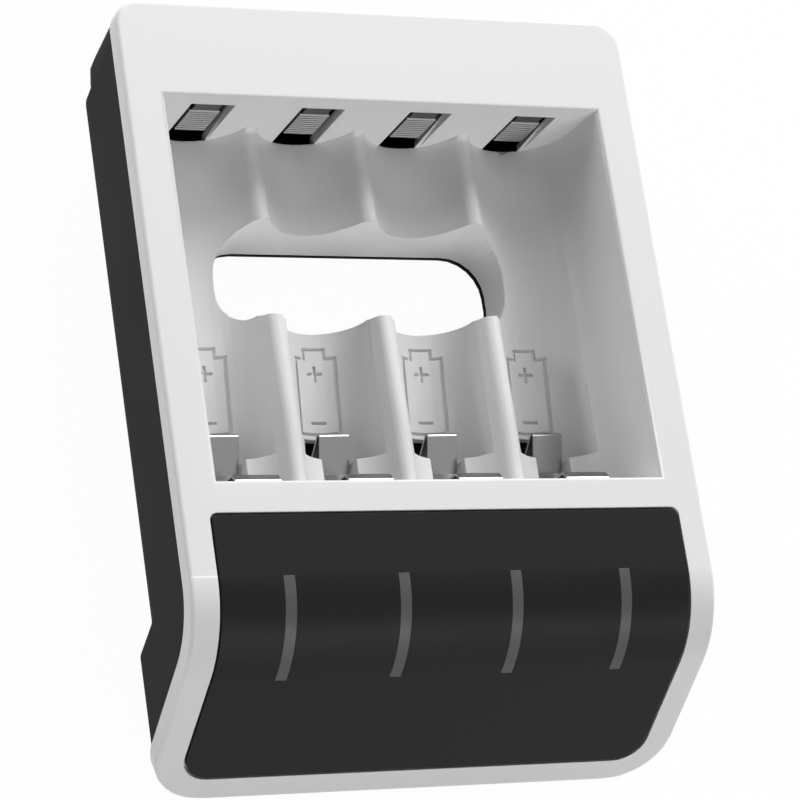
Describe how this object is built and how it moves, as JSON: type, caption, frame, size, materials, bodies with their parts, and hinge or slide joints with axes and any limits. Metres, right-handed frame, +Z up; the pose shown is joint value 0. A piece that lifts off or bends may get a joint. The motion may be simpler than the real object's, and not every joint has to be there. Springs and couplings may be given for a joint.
{
  "type": "aa battery charger",
  "caption": "Desk charger with four open bays for AA or AAA cells, a finger hole under them and a dark sloping front panel with light bars.",
  "frame": {"origin": "centre of the bounding box on the table plane, under the feet", "axes": "+X across the four slots, +Y towards the positive contacts, +Z up from the table through the open bay"},
  "size_m": [0.072, 0.0982, 0.0283],
  "materials": {
    "white_plastic": "satin",
    "black_plastic": "satin",
    "panel_plastic": "semi-gloss",
    "guide_plastic": "translucent",
    "nickel_strip": "bright",
    "screw_steel": "dark",
    "pad_rubber": "matte",
    "board_black": "satin",
    "package_black": "matte",
    "can_aluminium": "satin",
    "ferrite_grey": "matte",
    "lamp_white": "gloss",
    "lead_red": "satin",
    "lead_black": "satin"
  },
  "bodies": {
    "housing": {"front_cover": "white_plastic", "rear_cover": "black_plastic", "front_panel": "panel_plastic", "light_guide_1": "guide_plastic", "light_guide_2": "guide_plastic", "light_guide_3": "guide_plastic", "light_guide_4": "guide_plastic", "foot_pad_1": "pad_rubber", "foot_pad_2": "pad_rubber", "post_pad_1": "pad_rubber", "post_pad_2": "pad_rubber", "screw_1": "screw_steel", "screw_2": "screw_steel", "screw_3": "screw_steel", "screw_4": "screw_steel", "positive_contact_1": "nickel_strip", "positive_contact_2": "nickel_strip", "positive_contact_3": "nickel_strip", "positive_contact_4": "nickel_strip", "main_board": "board_black", "upper_board": "board_black", "inlet_socket": "screw_steel", "led_1": "lamp_white", "led_2": "lamp_white", "led_3": "lamp_white", "led_4": "lamp_white", "controller_chip": "package_black", "power_inductor": "ferrite_grey", "capacitor_1": "can_aluminium", "capacitor_2": "can_aluminium", "charge_switch_1": "package_black", "charge_switch_2": "package_black", "charge_switch_3": "package_black", "charge_switch_4": "package_black", "power_lead_1": "lead_red", "power_lead_2": "lead_black"},
    "aa_leaf_1": {"aa_spring_1": "nickel_strip"},
    "aa_leaf_2": {"aa_spring_2": "nickel_strip"},
    "aa_leaf_3": {"aa_spring_3": "nickel_strip"},
    "aa_leaf_4": {"aa_spring_4": "nickel_strip"},
    "aaa_leaf_1": {"aaa_spring_1": "nickel_strip"},
    "aaa_leaf_2": {"aaa_spring_2": "nickel_strip"},
    "aaa_leaf_3": {"aaa_spring_3": "nickel_strip"},
    "aaa_leaf_4": {"aaa_spring_4": "nickel_strip"}
  },
  "joints": [
    {"name": "aa_leaf_1_flex", "type": "hinge", "parent": "housing", "child": "aa_leaf_1", "pos_m": [-0.02305, -0.01356, 0.0096], "axis": [1, 0, 0], "range_deg": [0, 8], "stiffness_Nm_per_rad": 0.15},
    {"name": "aa_leaf_2_flex", "type": "hinge", "parent": "housing", "child": "aa_leaf_2", "pos_m": [-0.00768, -0.01356, 0.0096], "axis": [1, 0, 0], "range_deg": [0, 8], "stiffness_Nm_per_rad": 0.15},
    {"name": "aa_leaf_3_flex", "type": "hinge", "parent": "housing", "child": "aa_leaf_3", "pos_m": [0.00768, -0.01356, 0.0096], "axis": [1, 0, 0], "range_deg": [0, 8], "stiffness_Nm_per_rad": 0.15},
    {"name": "aa_leaf_4_flex", "type": "hinge", "parent": "housing", "child": "aa_leaf_4", "pos_m": [0.02305, -0.01356, 0.0096], "axis": [1, 0, 0], "range_deg": [0, 8], "stiffness_Nm_per_rad": 0.15},
    {"name": "aaa_leaf_1_flex", "type": "hinge", "parent": "housing", "child": "aaa_leaf_1", "pos_m": [-0.02305, -0.00839, 0.00935], "axis": [1, 0, 0], "range_deg": [0, 22], "stiffness_Nm_per_rad": 0.03},
    {"name": "aaa_leaf_2_flex", "type": "hinge", "parent": "housing", "child": "aaa_leaf_2", "pos_m": [-0.00768, -0.00839, 0.00935], "axis": [1, 0, 0], "range_deg": [0, 22], "stiffness_Nm_per_rad": 0.03},
    {"name": "aaa_leaf_3_flex", "type": "hinge", "parent": "housing", "child": "aaa_leaf_3", "pos_m": [0.00768, -0.00839, 0.00935], "axis": [1, 0, 0], "range_deg": [0, 22], "stiffness_Nm_per_rad": 0.03},
    {"name": "aaa_leaf_4_flex", "type": "hinge", "parent": "housing", "child": "aaa_leaf_4", "pos_m": [0.02305, -0.00839, 0.00935], "axis": [1, 0, 0], "range_deg": [0, 22], "stiffness_Nm_per_rad": 0.03}
  ]
}
